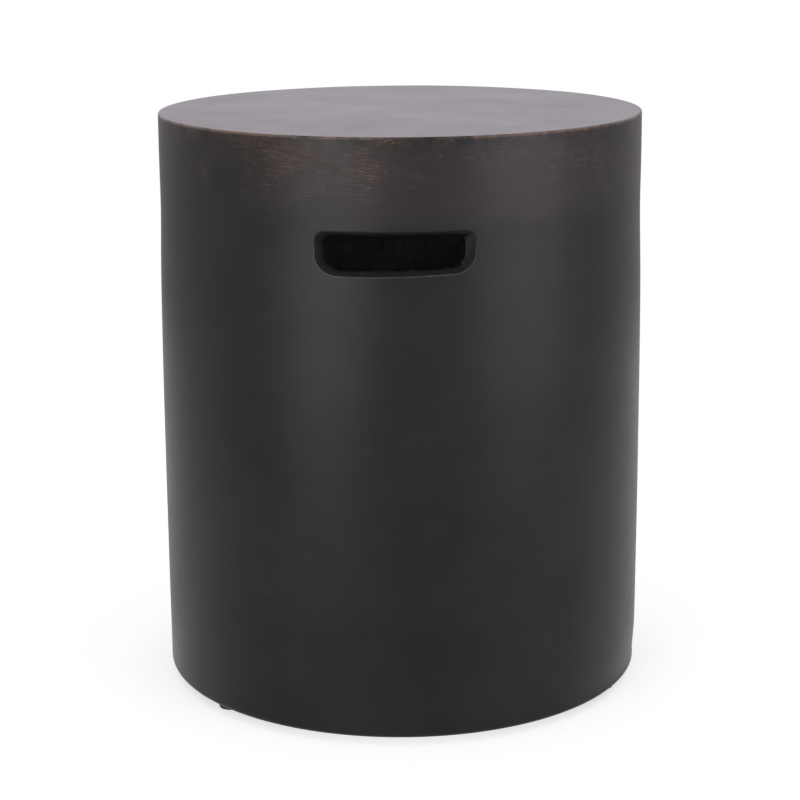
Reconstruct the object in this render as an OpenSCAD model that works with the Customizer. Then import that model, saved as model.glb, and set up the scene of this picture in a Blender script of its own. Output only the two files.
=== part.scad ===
// Round outdoor side table: a hollow drum cast in lightweight concrete over glass-fibre
// cloth, with two hand holds to lift it by and three rubber feet screwed to its base rim.
// Millimetres. The origin is on the floor under the middle of the top, with +Z up. The
// hand holds face -Y, the front, and +Y, the rear.

/* [Drum] */
// Diameter of the round top
top_d = 400; // [380:1:440]
// Diameter at the base: the outside widens to it, so that the casting slides out of its mould
base_d = 407; // [400:1:412]
// Height from the floor to the top face
table_h = 481; // [400:1:560]
// Thickness of the wall where it meets the top
wall_t = 12; // [9.5:0.5:15]
// Thickness of the wall at the base, which leaves the inside wide enough for its core to pull out
base_wall_t = 13.9; // [9.5:0.1:15]
// Thickness of the round top
top_t = 14; // [10:0.5:22]
// Radius of the edge round the top
top_edge_r = 1.5; // [0.5:0.1:4]
// Radius of the cove between the wall and the underside of the top
cove_r = 12; // [4:0.5:20]

/* [Base rim] */
// Width of the thick rim that the drum stands on
rim_w = 34; // [31:0.5:40]
// Height of the rim's upright inner face
rim_h = 26; // [22:0.5:40]
// Radius of the rim's outer edge, next to the floor
rim_outer_r = 5; // [2:0.5:6]
// Radius of the rim's inner edge
rim_inner_r = 3; // [1:0.5:4]

/* [Hand holds] */
// Clear width of each hand hold
hold_w = 105.5; // [80:0.5:120]
// Clear height of each hand hold
hold_h = 25; // [23:0.5:32]
// Distance from the top face down to the middle of each hand hold
hold_drop = 88.5; // [60:0.5:150]
// Radius of the two upper corners
hold_upper_r = 6; // [3:0.5:11]
// Radius of the two lower corners
hold_lower_r = 11; // [3:0.5:11]
// How much wider the mouth is at each end than the clear hole
mouth_end = 8.5; // [2:0.5:11]
// How much higher the mouth is above and below than the clear hole
mouth_side = 4.75; // [1:0.25:8]
// Depth over which the mouth rounds into the clear hole
mouth_depth = 7; // [2:0.5:8.5]

/* [Glass-fibre cloth] */
// Thickness of the cloth laid on the inside of the casting
cloth_t = 1.2; // [0.6:0.1:2]
// Distance that the cloth is trimmed back from the hand holds and the rim
cloth_trim = 6; // [3:0.5:12]

/* [Feet] */
// Diameter of each rubber foot where it meets the rim
foot_d = 22; // [18:0.5:24]
// Height of each foot, from the floor to the rim
foot_t = 6; // [5.6:0.1:9]
// Radius that each foot loses towards the floor
foot_taper = 1.5; // [0:0.1:2.5]
// Radius of each foot's edge on the floor
foot_edge_r = 0.8; // [0.3:0.1:1.2]
// Distance from the drum's outer face in to each foot
foot_inset = 6.5; // [5:0.5:8]
// Angle of the left foot from the front, seen from above
left_foot_turn = -49; // [-75:1:-35]
// Angle of the right foot from the front
right_foot_turn = 66; // [45:1:80]
// Angle of the back foot from the front
back_foot_turn = 188; // [165:1:195]
// Rubber left over the screw recess
foot_web = 2; // [1.5:0.1:2.5]
// Diameter of the screw recess in the foot
recess_d = 11.6; // [11:0.1:13]

/* [Fixings] */
// Outer diameter of the screw's thread
screw_d = 4; // [3.5:0.1:4.4]
// Length of the screw under its head
screw_l = 25; // [20:1:28]
// Length of the screw's point
screw_point = 5; // [3:0.5:8]
// Diameter of the screw's head
head_d = 7.6; // [6.5:0.1:9]
// Height of the screw's head
head_t = 2.2; // [1.8:0.1:2.5]
// Width of each arm of the cross recess in the head
cross_w = 1; // [0.6:0.1:1.4]
// Depth of the cross recess
cross_depth = 1.2; // [0.6:0.1:1.4]
// Outer diameter of the washer
washer_d = 11; // [9.5:0.1:11]
// Thickness of the washer
washer_t = 1; // [0.6:0.1:1.2]
// Outer diameter of the wall plug over its ribs
plug_d = 6.6; // [6:0.1:8]
// Length of the wall plug
plug_l = 20; // [16:0.5:24]
// Number of saw-tooth ribs round the plug
plug_ribs = 6; // [3:1:8]
// Height of those ribs
plug_rib_h = 0.4; // [0.1:0.05:0.5]
// Share of the plug's length that is split so that it can spread
plug_split = 0.65; // [0.4:0.05:0.8]
// Width of the splits
plug_slit = 0.8; // [0.4:0.1:1.2]

/* [Clearances] */
// All round a screw in the plug, the washer and the foot
screw_clear = 0.1; // [0.05:0.05:0.3]
// All round the plug in its hole
plug_clear = 0.05; // [0.02:0.01:0.2]
// Past the end of the screw in its hole
hole_spare = 3; // [1:0.5:5]

/* [Hidden] */
$fn = 96;
FEET = ["left", "right", "back"];

FOOT_TURNS = [left_foot_turn, right_foot_turn, back_foot_turn];
overcut = 5;
top_r = top_d / 2;
base_r = base_d / 2;
outside_r = max(top_r, base_r) + overcut;
ceiling_z = table_h - top_t;
rim_r = base_r - rim_w;
rim_top_z = foot_t + rim_h;
hold_z = table_h - hold_drop;
foot_r = base_r - foot_inset - foot_d / 2;
washer_z = foot_t - foot_web - washer_t;
screw_end_z = washer_z + screw_l;
plug_hole_r = plug_d / 2 + plug_clear;
shank_hole_r = screw_d / 2 + screw_clear;
core_slope = (inner_r(foot_t) - inner_r(ceiling_z)) / (ceiling_z - foot_t);
// The slope from the rim up to the wall runs at 45 degrees
slope_top_z = rim_top_z + (inner_r(rim_top_z) - rim_r) / (1 + core_slope);
arc_steps = 8;
corner_steps = 5;
side_steps = 8;
mouth_steps = 5;
mouth_start = 10; // angle from the drum's face at which the mouth begins to turn in

// Radius of the drum's outer face, and of its inside, at height z
function outer_r(z) = top_r + (base_r - top_r) * (table_h - z) / (table_h - foot_t);
function inner_r(z) =
    let (share = (ceiling_z - z) / (ceiling_z - foot_t))
    (top_r - wall_t) * (1 - share) + (base_r - base_wall_t) * share;

// Points of an arc round c, from angle a0 to a1
function arc(c, r, a0, a1) =
    [for (k = [0:arc_steps]) let (a = a0 + (a1 - a0) * k / arc_steps) c + r * [cos(a), sin(a)]];

// Half section of the casting, from the middle of the top round to the middle of its underside
function drum_section() = concat(
    [[0, ceiling_z], [0, table_h]],
    arc([top_r - top_edge_r, table_h - top_edge_r], top_edge_r, 90, 0),
    arc([base_r - rim_outer_r, foot_t + rim_outer_r], rim_outer_r, 0, -90),
    arc([rim_r + rim_inner_r, foot_t + rim_inner_r], rim_inner_r, -90, -180),
    [[rim_r, rim_top_z], [inner_r(slope_top_z), slope_top_z]],
    arc([inner_r(ceiling_z - cove_r) - cove_r, ceiling_z - cove_r], cove_r, 0, 90));

// Corners of a hand hold run anticlockwise from the upper right, seen from outside
function corner_r(c) = c < 2 ? hold_upper_r : hold_lower_r;
function corner_x(c) = (c == 0 || c == 3 ? 1 : -1) * (hold_w / 2 - corner_r(c));
function corner_z(c) = (c < 2 ? 1 : -1) * (hold_h / 2 - corner_r(c));
function corner(c, grow_x, grow_z) =
    [for (k = [0:corner_steps]) let (a = 90 * (c + k / corner_steps))
        [corner_x(c) + (corner_r(c) + grow_x) * cos(a),
         corner_z(c) + (corner_r(c) + grow_z) * sin(a)]];
function along(p, q) = [for (k = [1:side_steps - 1]) p + (q - p) * k / side_steps];

// Outline of the clear hole, grown sideways by grow_x and up and down by grow_z
function hold_outline(grow_x, grow_z) =
    let (ne = corner(0, grow_x, grow_z), nw = corner(1, grow_x, grow_z))
    let (sw = corner(2, grow_x, grow_z), se = corner(3, grow_x, grow_z))
    concat(ne, along(ne[corner_steps], nw[0]), nw, sw, along(sw[corner_steps], se[0]), se);

// The outline that is open by a share of the mouth, laid at a depth under the drum's outer face
function bent_ring(open, depth) =
    [for (p = hold_outline(open * mouth_end, open * mouth_side))
        [p[0], -sqrt(pow(outer_r(hold_z + p[1]) - depth, 2) - p[0] * p[0]), p[1]]];
function flat_ring(open, y) =
    [for (p = hold_outline(open * mouth_end, open * mouth_side)) [p[0], -y, p[1]]];

// The block that leaves one hand hold in the casting: flared where the mouth rounds over
module hold_former() {
    mouth = [for (k = [0:mouth_steps])
        let (a = mouth_start + (90 - mouth_start) * k / mouth_steps)
        bent_ring((1 - sin(a)) / (1 - sin(mouth_start)), mouth_depth * (1 - cos(a)))];
    inside_r = min(inner_r(hold_z + hold_h), inner_r(hold_z - hold_h));
    inside_y = sqrt(pow(inside_r, 2) - pow(hold_w / 2, 2)) - overcut;
    rings = concat([flat_ring(1, outside_r)], mouth, [flat_ring(0, inside_y)]);
    n = len(rings[0]);
    last = len(rings) - 1;
    translate([0, 0, hold_z])
        polyhedron(
            points = [for (ring = rings) each ring],
            faces = concat(
                [[for (j = [n - 1:-1:0]) j]],
                [for (i = [0:last - 1]) for (j = [0:n - 1])
                    let (a = i * n + j, b = i * n + (j + 1) % n)
                    each [[a, b, b + n], [a, b + n, a + n]]],
                [[for (j = [0:n - 1]) last * n + j]]));
}

// Turns to the hand hold side: the front, then the rear
module at_holds() {
    for (turn = [0, 180]) rotate(turn) children();
}

// Puts what is drawn on the Z axis at foot i
module at_foot(i) {
    rotate(FOOT_TURNS[i]) translate([0, -foot_r, 0]) children();
}

// One casting: the drum wall, the round top and the base rim
module cast_drum() {
    color([0.19, 0.185, 0.19])
        difference() {
            rotate_extrude() polygon(drum_section());
            at_holds() hold_former();
            for (i = [0:2])
                at_foot(i)
                    cylinder(r = plug_hole_r, h = screw_end_z + hole_spare);
        }
}

// Window trimmed out of the wall cloth round a hand hold
module cloth_window() {
    translate([0, 0, hold_z]) rotate([90, 0, 0])
        linear_extrude(outside_r) polygon(hold_outline(cloth_trim, cloth_trim));
}

// Cloth on the inside of the wall, from above the rim to the cove
module wall_cloth() {
    low_z = slope_top_z + cloth_trim;
    high_z = ceiling_z - cove_r;
    color([0.62, 0.6, 0.55])
        difference() {
            rotate_extrude()
                polygon([
                    [inner_r(low_z) - cloth_t, low_z], [inner_r(low_z), low_z],
                    [inner_r(high_z), high_z], [inner_r(high_z) - cloth_t, high_z]]);
            at_holds() cloth_window();
        }
}

// Cloth on the underside of the top
module top_cloth() {
    color([0.62, 0.6, 0.55])
        translate([0, 0, ceiling_z - cloth_t])
            cylinder(r = inner_r(ceiling_z) - cove_r, h = cloth_t);
}

// Tapered rubber foot with a recess that keeps the screw head off the floor
module foot_pad() {
    low_r = foot_d / 2 - foot_taper;
    color([0.06, 0.06, 0.06])
        rotate_extrude()
            polygon(concat(
                [[shank_hole_r, foot_t], [shank_hole_r, foot_t - foot_web],
                 [recess_d / 2, foot_t - foot_web], [recess_d / 2, 0]],
                arc([low_r - foot_edge_r, foot_edge_r], foot_edge_r, -90, 0),
                [[foot_d / 2, foot_t]]));
}

// Flat steel washer between the screw head and the rubber
module foot_washer() {
    color([0.72, 0.72, 0.7])
        translate([0, 0, washer_z])
            difference() {
                cylinder(d = washer_d, h = washer_t);
                translate([0, 0, -washer_t]) cylinder(r = shank_hole_r, h = 3 * washer_t);
            }
}

// Pan-head screw, pointing up into the rim
module foot_screw() {
    crown_r = head_t;
    color([0.78, 0.77, 0.74])
        difference() {
            rotate_extrude()
                polygon(concat(
                    [[0, screw_end_z], [0, washer_z - head_t]],
                    arc([head_d / 2 - crown_r, washer_z], crown_r, -90, 0),
                    [[screw_d / 2, washer_z], [screw_d / 2, screw_end_z - screw_point]]));
            for (turn = [0, 90])
                rotate(turn)
                    translate([-head_d / 3, -cross_w / 2, washer_z - head_t - overcut])
                        cube([head_d * 2 / 3, cross_w, overcut + cross_depth]);
        }
}

// Nylon plug in the rim's hole: saw-tooth ribs outside, split from its inner end
module foot_plug() {
    tooth = plug_l / plug_ribs;
    rib_r = plug_d / 2;
    color([0.75, 0.76, 0.78])
        translate([0, 0, foot_t])
            difference() {
                rotate_extrude()
                    polygon(concat(
                        [[shank_hole_r, plug_l], [shank_hole_r, 0], [rib_r, 0]],
                        [for (k = [0:plug_ribs - 1]) each
                            [[rib_r, tooth * (k + 0.2)], [rib_r - plug_rib_h, tooth * (k + 1)],
                             if (k < plug_ribs - 1) [rib_r, tooth * (k + 1)]]]));
                for (turn = [0, 90])
                    rotate(turn)
                        translate([-plug_d, -plug_slit / 2, plug_l * (1 - plug_split)])
                            cube([2 * plug_d, plug_slit, plug_l]);
            }
}

cast_drum();
wall_cloth();
top_cloth();
for (i = [0:2]) {
    at_foot(i) foot_pad();
    at_foot(i) foot_washer();
    at_foot(i) foot_screw();
    at_foot(i) foot_plug();
}
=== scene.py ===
import math
import bpy
import numpy as np
from mathutils import Matrix, Vector


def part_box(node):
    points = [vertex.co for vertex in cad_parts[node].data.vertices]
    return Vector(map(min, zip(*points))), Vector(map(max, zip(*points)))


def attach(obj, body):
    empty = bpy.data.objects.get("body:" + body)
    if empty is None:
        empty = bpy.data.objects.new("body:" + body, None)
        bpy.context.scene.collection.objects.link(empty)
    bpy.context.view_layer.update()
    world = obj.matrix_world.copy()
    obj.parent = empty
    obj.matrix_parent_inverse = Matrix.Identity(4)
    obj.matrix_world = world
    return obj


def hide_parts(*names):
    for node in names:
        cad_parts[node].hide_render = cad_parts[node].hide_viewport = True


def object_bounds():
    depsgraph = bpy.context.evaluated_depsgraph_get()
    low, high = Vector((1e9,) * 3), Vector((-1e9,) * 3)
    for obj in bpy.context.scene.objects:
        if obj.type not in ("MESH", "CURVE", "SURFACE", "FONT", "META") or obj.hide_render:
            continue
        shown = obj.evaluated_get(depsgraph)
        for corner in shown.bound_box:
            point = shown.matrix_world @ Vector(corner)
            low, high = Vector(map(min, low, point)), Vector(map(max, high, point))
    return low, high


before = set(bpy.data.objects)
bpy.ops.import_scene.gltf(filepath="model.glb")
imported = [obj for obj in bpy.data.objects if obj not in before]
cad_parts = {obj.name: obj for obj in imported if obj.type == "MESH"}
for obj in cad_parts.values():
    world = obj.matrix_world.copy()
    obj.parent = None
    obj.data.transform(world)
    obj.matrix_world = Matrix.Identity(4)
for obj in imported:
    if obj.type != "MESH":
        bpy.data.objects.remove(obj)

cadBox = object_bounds()
mm = 0.001
print("frame loaded:", len(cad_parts), "nodes")


# Node maths, shared by the shader trees and the geometry trees
def bothWays(operation):
    # an operator on a wire, and its reflected form, for a number on the left
    def plain(wire, other): return wire.bench.maths(operation, wire, other)
    def reflected(wire, other): return wire.bench.maths(operation, other, wire)
    return plain, reflected


class Wire:
    # one output of a node; an expression on wires adds its Math nodes
    def __init__(self, bench, socket):
        self.bench = bench
        self.socket = socket

    __add__, __radd__ = bothWays("ADD")
    __sub__, __rsub__ = bothWays("SUBTRACT")
    __mul__, __rmul__ = bothWays("MULTIPLY")
    __truediv__, __rtruediv__ = bothWays("DIVIDE")

    def __pow__(self, other): return self.bench.maths("POWER", self, other)
    def __neg__(self): return self.bench.maths("MULTIPLY", self, -1)
    def __abs__(self): return self.bench.maths("ABSOLUTE", self)
    def least(self, other): return self.bench.maths("MINIMUM", self, other)
    def most(self, other): return self.bench.maths("MAXIMUM", self, other)
    def clamped(self): return self.between(0, 1, "LINEAR")

    def between(self, low, high, shape="SMOOTHSTEP"):
        # 0 at low, 1 at high; low may be the larger one
        settings = {"interpolation_type": shape}
        feeds = {"Value": self, "From Min": low, "From Max": high}
        return self.bench.node("ShaderNodeMapRange", settings, feeds)

    def within(self, start, full, fading, end):
        # 1 between full and fading, 0 outside start and end
        return self.between(start, full) * self.between(end, fading)

    def __getitem__(self, name):
        # another output of the same node
        return Wire(self.bench, self.socket.node.outputs[name])


class Bench:
    # a node tree under construction; node() makes any kind of node, its settings first, and a
    # list of wires goes into one socket
    def __init__(self, tree):
        self.tree = tree

    def node(self, kind, settings=None, feeds=None, out=0):
        made = self.tree.nodes.new(kind)
        for name, value in (settings or {}).items():
            setattr(made, name, value)
        for name, value in (feeds or {}).items():
            wires = value if isinstance(value, list) else [value]
            if isinstance(wires[0], Wire):
                for wire in wires:
                    self.tree.links.new(wire.socket, made.inputs[name])
            else:
                made.inputs[name].default_value = value
        return Wire(self, made.outputs[out]) if len(made.outputs) else made

    def maths(self, operation, *values):
        return self.node("ShaderNodeMath", {"operation": operation}, dict(enumerate(values)))

    def vectors(self, operation, *values):
        return self.node("ShaderNodeVectorMath", {"operation": operation}, dict(enumerate(values)))

    def vector(self, x=0.0, y=0.0, z=0.0):
        return self.node("ShaderNodeCombineXYZ", {}, {"X": x, "Y": y, "Z": z})

    def scaled(self, vector, factor):
        feeds = {"Vector": vector, "Scale": factor}
        return self.node("ShaderNodeVectorMath", {"operation": "SCALE"}, feeds)

    def root(self, value): return self.maths("SQRT", value)
    def cosine(self, value): return self.maths("COSINE", value)

    def spot(self, radius, angle, height=0.0):
        # as spot() below, for nodes
        return self.vector(radius * self.maths("SINE", angle), -(radius * self.cosine(angle)), height)

    def parts(self, vector):
        split = self.node("ShaderNodeSeparateXYZ", {}, {"Vector": vector})
        return split, split["Y"], split["Z"]

    def place(self):
        # Object coordinates in millimetres
        return self.scaled(self.node("ShaderNodeTexCoord")["Object"], 1 / mm)

    def noise(self, vector, size, seed, detail=2.0, rough=0.5):
        # size is the width of one blob, or its three widths, in the vector's own units; a single
        # width divides the seed as well
        if isinstance(size, tuple):
            vector, size = self.vectors("MULTIPLY", vector, tuple(1 / width for width in size)), 1.0
        feeds = {"Vector": vector, "W": seed, "Scale": 1 / size, "Detail": detail, "Roughness": rough}
        return self.node("ShaderNodeTexNoise", {"noise_dimensions": "4D"}, feeds)

    def cells(self, vector, size):
        return self.node("ShaderNodeTexVoronoi", {}, {"Vector": vector, "Scale": 1 / size})

    def mixed(self, factor, first, second):
        feeds = {0: factor, 6: first, 7: second}
        return self.node("ShaderNodeMix", {"data_type": "RGBA"}, feeds, out=2)

    def bump(self, height, distance, strength=1.0):
        feeds = {"Height": height, "Distance": distance, "Strength": strength}
        return self.node("ShaderNodeBump", {}, feeds)

    def stored(self, name):
        # a value kept at the points of a mesh, and store() keeps one
        return self.node("GeometryNodeInputNamedAttribute", {"data_type": "FLOAT"}, {"Name": name})

    def store(self, geometry, name, value):
        settings = {"data_type": "FLOAT", "domain": "POINT"}
        feeds = {"Geometry": geometry, "Name": name, "Value": value}
        return self.node("GeometryNodeStoreNamedAttribute", settings, feeds)


def colour(red, green, blue):
    return (red, green, blue, 1.0)


def spot(radius, angle, height=0.0):
    # round the Z axis: angle 0 faces -Y and angles grow towards +X
    return np.transpose([radius * np.sin(angle), -radius * np.cos(angle), height])


def added(name, data):
    made = bpy.data.objects.new(name, data)
    bpy.context.scene.collection.objects.link(made)
    return made


def shaderBench(name):
    # an empty shader tree, and where its surface is
    material = bpy.data.materials.new(name)
    material.use_nodes = True
    material.node_tree.nodes.clear()
    bench = Bench(material.node_tree)
    return material, bench, bench.place()


def coated(bench, base, roughness, height, depth, strength, gloss=1.5, metal=0.0):
    shader = bench.node("ShaderNodeBsdfPrincipled", {}, {
        "Base Color": base, "Roughness": roughness, "IOR": gloss, "Metallic": metal,
        "Normal": bench.bump(height, depth * mm, strength)})
    bench.node("ShaderNodeOutputMaterial", {}, {"Surface": shader})


# Geometry trees: named inputs, then a plain mesh from the evaluated modifier
def geometryBench(name, inputs):
    tree = bpy.data.node_groups.new(name, "GeometryNodeTree")
    tree.interface.new_socket("Geometry", in_out="INPUT", socket_type="NodeSocketGeometry")
    tree.interface.new_socket("Geometry", in_out="OUTPUT", socket_type="NodeSocketGeometry")
    for label, value in inputs.items():
        kind = {bpy.types.Material: "Material", int: "Int"}.get(type(value), "Float")
        tree.interface.new_socket(label, in_out="INPUT", socket_type="NodeSocket" + kind)
    bench = Bench(tree)
    return bench, bench.node("NodeGroupInput")


def grown(piece, bench, geometry, inputs, given):
    # ends the tree, runs it on the piece and keeps its result as a plain mesh
    whole = bench.node("GeometryNodeRealizeInstances", {}, {"Geometry": geometry})
    dressed = bench.node("GeometryNodeSetMaterial", {}, {"Geometry": whole, "Material": given["Material"]})
    if "Bare Material" in inputs:   # what lies inside the casting
        dressed = bench.node("GeometryNodeSetMaterial", {}, {
            "Geometry": dressed, "Selection": bench.maths("GREATER_THAN", bench.stored("bare"), 0.99),
            "Material": given["Bare Material"]})
    bench.node("NodeGroupOutput", {}, {"Geometry": dressed})
    modifier = piece.modifiers.new(bench.tree.name, "NODES")
    modifier.node_group = bench.tree
    for socket in bench.tree.interface.items_tree:
        if socket.in_out == "INPUT" and socket.name in inputs:
            modifier[socket.identifier] = inputs[socket.name]
    seen = piece.evaluated_get(bpy.context.evaluated_depsgraph_get())
    mesh = bpy.data.meshes.new_from_object(seen)
    piece.modifiers.remove(modifier)
    blank = piece.data
    piece.data = mesh
    bpy.data.meshes.remove(blank)
    mesh.name = piece.name
    return piece


# Spun meshes: rows of points round the Z axis, joined in the order of the section
class Spun:
    # built in millimetres
    def __init__(self):
        self.rings = []
        self.rows = []
        self.quads = []
        self.triangles = []
        self.marks = {}     # attribute name: pairs of points and their value
        self.total = 0

    def ring(self, points):
        self.rings.append(np.asarray(points, float))
        first = self.total
        self.total += len(points)
        return np.arange(first, self.total)

    def mark(self, name, points, value=1.0):
        self.marks.setdefault(name, []).append((points, value))

    def row(self, radius, height, columns):
        if radius == 0:
            columns = 1
        turn = 2 * np.pi * np.arange(columns) / columns
        self.rows.append(self.ring(spot(radius, turn, np.full(columns, float(height)))))

    def section(self, points, columns):
        for radius, height in points:
            self.row(radius, height, columns)

    def wall(self, radiusAt, heights, columns):
        self.section([(radiusAt(height), height) for height in heights], columns)

    def disc(self, parts, height):
        for radii, columns in parts:
            self.section([(radius, height) for radius in radii], columns)

    def join(self, above, below, skipped=()):
        if len(above) == len(below):
            at = np.setdiff1d(np.arange(len(above)), skipped)
            after = (at + 1) % len(above)
            self.quads.append(np.stack([above[at], below[at], below[after], above[after]], 1))
            return
        few, many = sorted((above, below), key=len)
        after = np.roll(few, -1)
        if len(few) == 1:
            faces = [(np.full(len(many), few[0]), many, np.roll(many, -1))]
        else:
            start, half = many[0::2], many[1::2]
            faces = [(few, start, half), (few, half, after), (half, np.roll(start, -1), after)]
        facing = 1 if few is above else -1
        self.triangles += [np.stack(face[::facing], 1) for face in faces]

    def joinRows(self, windows=(), closed=False):
        for i in range(len(self.rows) - 1):
            above, below = self.rows[i], self.rows[i + 1]
            skipped = [
                (middle + k) % len(above)
                for first, last, middle, half in windows if first <= i < last
                for k in range(-half, half)]
            self.join(above, below, skipped)
        if closed:
            self.join(self.rows[-1], self.rows[0])

    def windowEdge(self, first, last, middle, half):
        # round a window in the rows, anticlockwise seen from outside
        count = len(self.rows[first])
        left, right = (middle - half) % count, (middle + half) % count
        edge = [self.rows[i][left] for i in range(first, last)]
        edge += [self.rows[last][(middle + k) % count] for k in range(-half, half)]
        edge += [self.rows[i][right] for i in range(last, first, -1)]
        edge += [self.rows[first][(middle + k) % count] for k in range(half, -half, -1)]
        return np.array(edge)

    def at(self, indices):
        return np.concatenate(self.rings)[indices]

    def joinRings(self, outer, inner):
        nextOuter, nextInner = np.roll(outer, -1), np.roll(inner, -1)
        self.quads.append(np.stack([outer, nextOuter, nextInner, inner], 1))

    def built(self, name, reshape=None):
        points = np.concatenate(self.rings)
        if reshape:
            points = reshape(points)
        faces = [f for group in self.quads + self.triangles for f in group.tolist()]
        mesh = bpy.data.meshes.new(name)
        mesh.from_pydata((points * mm).tolist(), [], faces)
        mesh.polygons.foreach_set("use_smooth", np.ones(len(faces), bool))
        for label, marked in self.marks.items():
            values = np.zeros(len(points))
            for indices, value in marked:
                values[indices] = value
            mesh.attributes.new(label, "FLOAT", "POINT").data.foreach_set("value", values)
        return added(name, mesh)


def arc(centreR, centreZ, radius, start, end, steps):
    turns = np.radians(np.linspace(start, end, steps + 1))
    return [(centreR + radius * math.cos(t), centreZ + radius * math.sin(t)) for t in turns]


def stretch(first, last, steps):
    # the points between two others, without either
    return [
        tuple(a + (b - a) * k / steps for a, b in zip(first, last))
        for k in range(1, steps)]


# The casting: one mesh from the middle of the top, over the edge and down to the inside
drum = {
    # the base stays a little inside the CAD box
    "topR": 200.0, "baseR": cadBox[1].x / mm - 0.08, "topZ": cadBox[1].z / mm,
    "rimZ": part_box("cast_drum")[0].z / mm,
    "wallT": 12.0, "baseWallT": 13.9, "topT": 14.0,
    "topEdgeR": 1.6, "rimOuterR": 5.2, "rimInnerR": 3.0, "coveR": 12.0,
    "rimW": 34.0, "rimH": 26.0, "slopeCut": 3.0, "slopeBendR": 7.2,
    # how far the wall swells and draws in, and where and over how much of its height it draws in
    "belly": 0.85, "waist": 0.9, "waistAt": 0.16, "waistSpan": 0.085,
    "columns": 360,
}
hold = {
    "width": 105.5, "height": 25.0, "drop": 87.2, "upperR": 6.0, "lowerR": 11.0,
    "mouthEnd": 8.5, "mouthSide": 4.75, "mouthDepth": 7.0,
    "lipR": 1.6, "lipTurn": 52.0, "innerEdgeR": 1.0, "upperTight": 0.75,
    "halfColumns": 24, "rowsAcross": 18, "rowPitch": 4.5,
}
# how each hand hold differs from a perfect one: its turn round the drum, tilt and bowed lower edge
holds = [
    {"turn": 0, "tilt": 0.008, "bow": 1.1, "bowAt": -15.0, "bowSpan": 52.0},
    {"turn": 180, "tilt": -0.004, "bow": 0.7, "bowAt": 10.0, "bowSpan": 48.0},
]
plugHole = {"r": 3.35, "top": 31.0, "halfColumns": 2, "facets": 12}
foot = {"turns": (-49, 66, 188), "r": 186.0, "height": 6.0}

drum["holdZ"] = drum["topZ"] - hold["drop"]
drum["ceilingZ"] = drum["topZ"] - drum["topT"]
drum["rimR"] = drum["baseR"] - drum["rimW"]


def outerRadius(height):
    share = (drum["topZ"] - height) / (drum["topZ"] - drum["rimZ"])
    straight = drum["topR"] + (drum["baseR"] - drum["topR"]) * share
    swell = drum["belly"] * np.sin(np.pi * np.clip(share, 0, 1)) ** 2
    waist = drum["waist"] * np.exp(-((share - drum["waistAt"]) / drum["waistSpan"]) ** 2)
    return straight + swell - waist


def innerRadius(height):
    share = (drum["ceilingZ"] - height) / (drum["ceilingZ"] - drum["rimZ"])
    top, base = drum["topR"] - drum["wallT"], drum["baseR"] - drum["baseWallT"]
    return top * (1 - share) + base * share


def holdOutline(own, growEnd, growSide):
    # anticlockwise from the middle of the upper left corner, with the angle of each point's normal
    upper, lower = hold["upperR"], hold["lowerR"]
    # corner: side, up or down, radius, share of the growth that leaves the radius as it is,
    # first angle, steps round it, steps to the next corner
    tight = hold["upperTight"]
    corners = [(-1, 1, upper, tight, 90, 10, 6), (-1, -1, lower, 0.1, 180, 14, 34),
               (1, -1, lower, 0.1, 270, 14, 6), (1, 1, upper, tight, 0, 10, 38)]
    across, up, angles = [], [], []
    for side, rise, radius, moved, first, steps, run in corners:
        turn = np.radians(first + 90 * np.arange(steps + 1) / steps)
        endR, sideR = radius + growEnd * (1 - moved), radius + growSide * (1 - moved)
        across += list(side * (hold["width"] / 2 + growEnd - endR) + endR * np.cos(turn))
        up += list(rise * (hold["height"] / 2 + growSide - sideR) + sideR * np.sin(turn))
        angles += list(turn)
        across += [None] * (run - 1)
        up += [None] * (run - 1)
        angles += [turn[-1]] * (run - 1)
    across, up = np.array(across, float), np.array(up, float)
    places = np.arange(len(across) + 1)
    for values in (across, up):
        ring = np.append(values, values[0])
        known = ~np.isnan(ring)
        values[:] = np.interp(places, places[known], ring[known])[:-1]
    start = 5
    across, up, angles = (np.roll(a, -start) for a in (across, up, np.array(angles)))
    bow = own["bow"] * np.clip(1 - ((across - own["bowAt"]) / own["bowSpan"]) ** 2, 0, 1)
    low = np.clip(0.5 - up / hold["height"], 0, 1)
    return across, drum["holdZ"] + up + own["tilt"] * across - bow * low, angles


def mouthProfile(growth, shares):
    # growth left and depth reached along the lip's small radius, then along a curve to the clear hole
    lip, turn = hold["lipR"], math.radians(hold["lipTurn"])
    turn = min(turn, math.atan2(0.8 * hold["mouthDepth"], growth))
    startDepth, startGrowth = lip * (1 - math.cos(turn)), growth - lip * math.sin(turn)
    bendDepth = startDepth + startGrowth * math.tan(turn)
    found = []
    for share in shares:
        if share <= 1:
            angle = turn * share
            found.append((growth - lip * math.sin(angle), lip * (1 - math.cos(angle))))
        else:
            t = share - 1
            left = startGrowth * (1 - t) ** 2
            depth = startDepth * (1 - t) ** 2 + 2 * bendDepth * t * (1 - t) + hold["mouthDepth"] * t * t
            found.append((left, depth))
    return found


def onWall(across, height, radius, turn):
    # a point on a round wall, from its distance to the side of the hold's middle
    return spot(radius, np.radians(turn) + np.arcsin(across / radius), height)


def wallPlace(points, turn):
    # the angle from the hold's middle and the height of points on a wall
    angle = np.arctan2(points[:, 0], -points[:, 1]) - math.radians(turn)
    return (angle + np.pi) % (2 * np.pi) - np.pi, points[:, 2]


def blendRings(casting, edge, ring, radiusAt, turn, shares):
    # rings on the wall between a window's edge and a hold's outline; share 0 is the window's edge
    edgeAngle, edgeZ = wallPlace(casting.at(edge), turn)
    ringAngle, ringZ = wallPlace(ring, turn)
    made = []
    for share in shares:
        angle = edgeAngle + (ringAngle - edgeAngle) * share + math.radians(turn)
        height = edgeZ + (ringZ - edgeZ) * share
        made.append(casting.ring(spot(radiusAt(height), angle, height)))
    return made


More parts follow.
